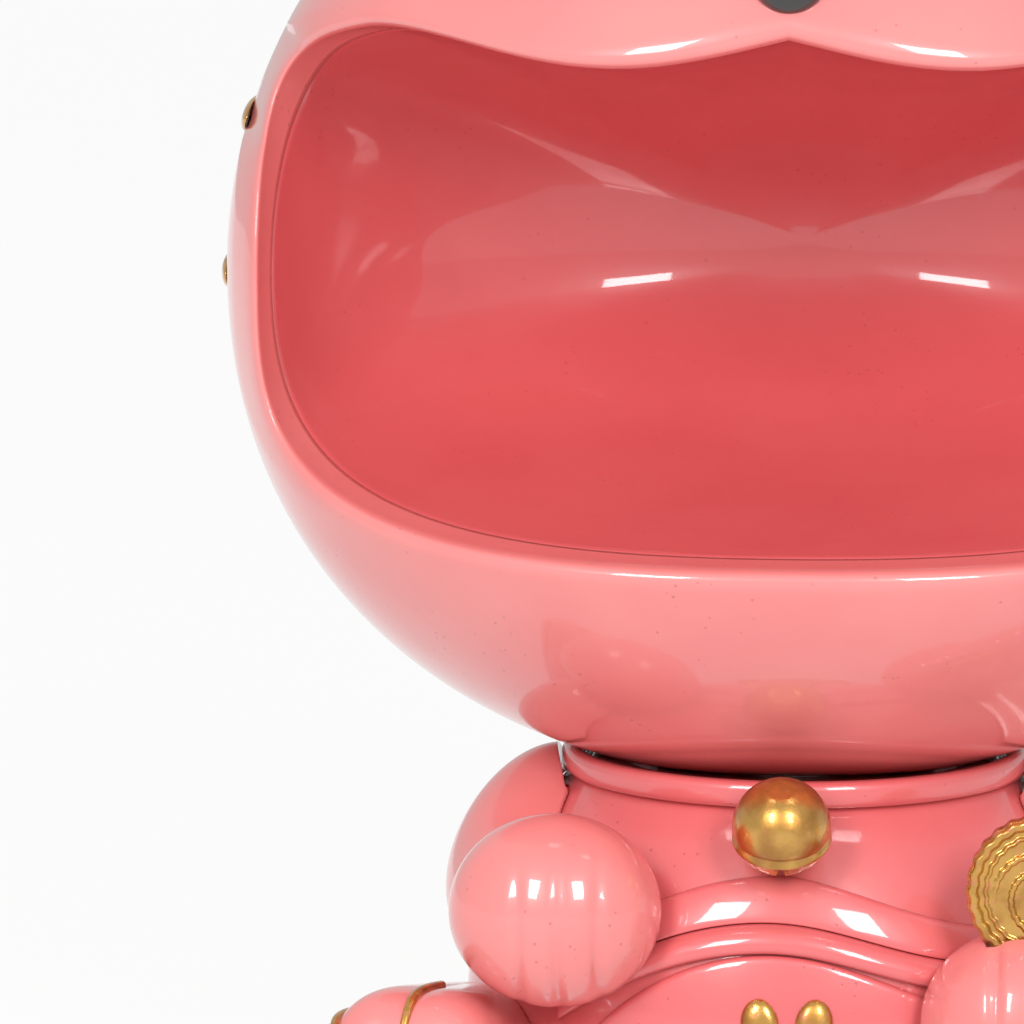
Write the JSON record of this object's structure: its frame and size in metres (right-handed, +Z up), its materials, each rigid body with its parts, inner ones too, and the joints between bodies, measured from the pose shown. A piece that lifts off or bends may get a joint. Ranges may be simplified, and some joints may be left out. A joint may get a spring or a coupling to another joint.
{
  "type": "coin bank",
  "caption": "Seated cat coin bank with an oversized head, a wide open mouth forming a storage bowl, a coin slot at the back and a rubber stopper underneath.",
  "frame": {"origin": "centre of the footprint on the table, under the middle of the overall box", "axes": "+Z up, -Y out of the face, +X to the viewer's right"},
  "size_m": [0.2028, 0.144, 0.2635],
  "materials": {
    "pink_gloss": "high gloss clear coat over pink paint, a few fine specks",
    "body_pink": "high gloss clear coat over deeper pink paint",
    "mouth_red": "high gloss clear coat over deep pink paint",
    "gold_paint": "worn metallic gold paint under gloss coat",
    "black_gloss": "gloss black paint",
    "base": "unpolished resin",
    "sleeve": "moulded tube, satin",
    "stopper": "soft translucent white rubber",
    "pads": "dense foam rubber"
  },
  "bodies": {
    "bank": {"head_shell": "pink_gloss", "mouth_bowl": "mouth_red", "left_ear": "pink_gloss", "right_ear": "pink_gloss", "left_inner_ear": "gold_paint", "right_inner_ear": "gold_paint", "left_eye": "black_gloss", "right_eye": "black_gloss", "nose": "black_gloss", "left_whiskers": "gold_paint", "right_whiskers": "gold_paint", "neck_sleeve": "sleeve", "collar_band": "body_pink", "bell": "gold_paint", "torso_shell": "body_pink", "belly_apron": "body_pink", "sash_band": "body_pink", "apron_trim": "body_pink", "paw_emblem": "gold_paint", "left_arm": "pink_gloss", "right_arm": "pink_gloss", "left_paw": "pink_gloss", "right_paw": "pink_gloss", "medallion": "gold_paint", "left_leg": "pink_gloss", "right_leg": "pink_gloss", "left_toe_inlays": "gold_paint", "right_toe_inlays": "gold_paint", "tail": "pink_gloss", "base_plate": "base", "foot_pads": "pads"},
    "stopper_body": {"stopper": "stopper"}
  },
  "joints": [
    {"name": "stopper_pull", "type": "slide", "parent": "bank", "child": "stopper_body", "axis": [0, 0, -1], "range_m": [0, 0.03]}
  ]
}
